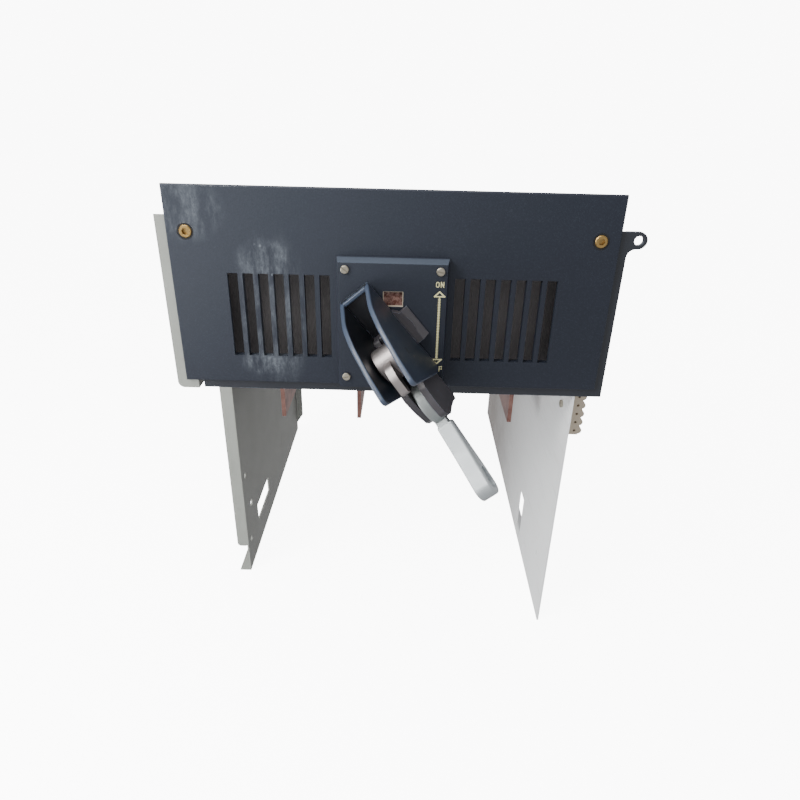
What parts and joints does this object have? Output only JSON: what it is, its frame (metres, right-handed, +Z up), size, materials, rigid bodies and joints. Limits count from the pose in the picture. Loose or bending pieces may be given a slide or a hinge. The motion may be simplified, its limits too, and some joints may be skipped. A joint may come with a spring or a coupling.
{
  "type": "switch-disconnector",
  "caption": "Front-operated load-break switch with a turning handle, slotted cover, copper blades and two sheet-metal side plates.",
  "frame": {"origin": "centre of the four floor-bolt holes, on the floor", "axes": "+Z up, +X to the operator's right, the operator looks along +Y"},
  "size_m": [0.5435, 0.8362, 0.6195],
  "materials": {
    "zinc_sheet": "light grey-green plated sheet steel, dull",
    "zinc_sheet_pale": "near-white coated sheet steel, dull",
    "navy_moulding": "dark navy fine-textured moulding",
    "navy_metal": "dark navy semi-gloss paint on a casting",
    "black_casting": "black paint, worn",
    "black_insulation": "black insulating board",
    "brown_insulation": "dark brown phenolic moulding",
    "copper": "bare copper, dulled",
    "brass": "bare brass, satin",
    "bright_steel": "machined steel, satin",
    "zinc_bolt": "zinc-plated fasteners",
    "cast_aluminium": "sand-cast aluminium, fettled",
    "cream_nylon": "cream nylon",
    "pale_ink": "pale yellow filled lettering",
    "indicator_colour": "two-colour indicator, red-brown and green",
    "black_rubber": "black rubber ring"
  },
  "bodies": {
    "chassis": {"left_side_plate": "zinc_sheet", "right_side_plate": "zinc_sheet_pale", "left_bracket": "zinc_sheet", "bracket_spacers": "zinc_bolt", "bracket_bolts": "zinc_bolt", "cover_frame": "navy_metal", "inner_shield": "black_insulation", "frame_tab_bolts": "zinc_bolt", "front_rail": "zinc_sheet", "rear_rail": "zinc_sheet", "rail_bolts": "zinc_bolt", "front_cover": "navy_moulding", "cover_screw_grommets": "black_rubber", "escutcheon": "navy_moulding", "escutcheon_screws": "zinc_bolt", "window_frame": "cream_nylon", "scale_marks": "pale_ink", "rotor_bearings": "bright_steel", "gear_bracket": "zinc_sheet", "drive_bushes": "brass", "insulating_base": "brown_insulation", "front_blade_1": "copper", "front_blade_2": "copper", "front_blade_3": "copper", "front_blade_4": "copper", "rear_terminal_1": "copper", "rear_terminal_2": "copper", "rear_terminal_3": "copper", "rear_terminal_4": "copper", "arc_chute_1": "brown_insulation", "arc_chute_2": "brown_insulation", "arc_chute_3": "brown_insulation", "arc_chute_4": "brown_insulation", "arc_plates": "bright_steel", "phase_barriers": "black_insulation", "terminal_strip": "cream_nylon", "terminal_strip_screws": "zinc_bolt"},
    "handle_assembly": {"handle_hub": "black_casting", "handle_hood": "navy_metal", "handle_fork": "black_casting", "latch_pin": "bright_steel", "lever_pin": "bright_steel", "indicator_disc": "indicator_colour", "drive_shaft": "bright_steel", "drive_gear": "bright_steel"},
    "contact_rotor": {"rotor": "brown_insulation", "rotor_gear": "bright_steel", "rotor_stubs": "bright_steel", "moving_contact_1": "copper", "moving_contact_2": "copper", "moving_contact_3": "copper", "moving_contact_4": "copper"},
    "release_latch": {"release_latch": "bright_steel"},
    "lever": {"lever": "cast_aluminium"},
    "cover_screw_left": {"cover_screw_left": "brass"},
    "cover_screw_right": {"cover_screw_right": "brass"}
  },
  "joints": [
    {"name": "handle_turn", "type": "hinge", "parent": "chassis", "child": "handle_assembly", "pos_m": [0, -0.38, 0.462], "axis": [0, -1, 0], "range_deg": [0, 90]},
    {"name": "rotor_turn", "type": "hinge", "parent": "chassis", "child": "contact_rotor", "pos_m": [0, -0.095, 0.462], "axis": [1, 0, 0], "range_deg": [-90, 0]},
    {"name": "latch_press", "type": "hinge", "parent": "handle_assembly", "child": "release_latch", "pos_m": [0.00273, -0.46755, 0.45875], "axis": [0.766, 0, 0.6428], "range_deg": [0, 8], "stiffness_Nm_per_rad": 0.8, "springref_deg": -14.32},
    {"name": "lever_fold", "type": "hinge", "parent": "handle_assembly", "child": "lever", "pos_m": [0.04429, -0.45843, 0.40921], "axis": [0.766, 0, 0.6428], "range_deg": [0, 30]},
    {"name": "cover_screw_left_turn", "type": "hinge", "parent": "chassis", "child": "cover_screw_left", "pos_m": [-0.2284, -0.38, 0.57], "axis": [0, -1, 0], "range_deg": [0, 90]},
    {"name": "cover_screw_right_turn", "type": "hinge", "parent": "chassis", "child": "cover_screw_right", "pos_m": [0.2284, -0.38, 0.57], "axis": [0, -1, 0], "range_deg": [0, 90]}
  ],
  "couplings": [
    {"joint": "rotor_turn", "follows": "handle_turn", "ratio": -1}
  ]
}
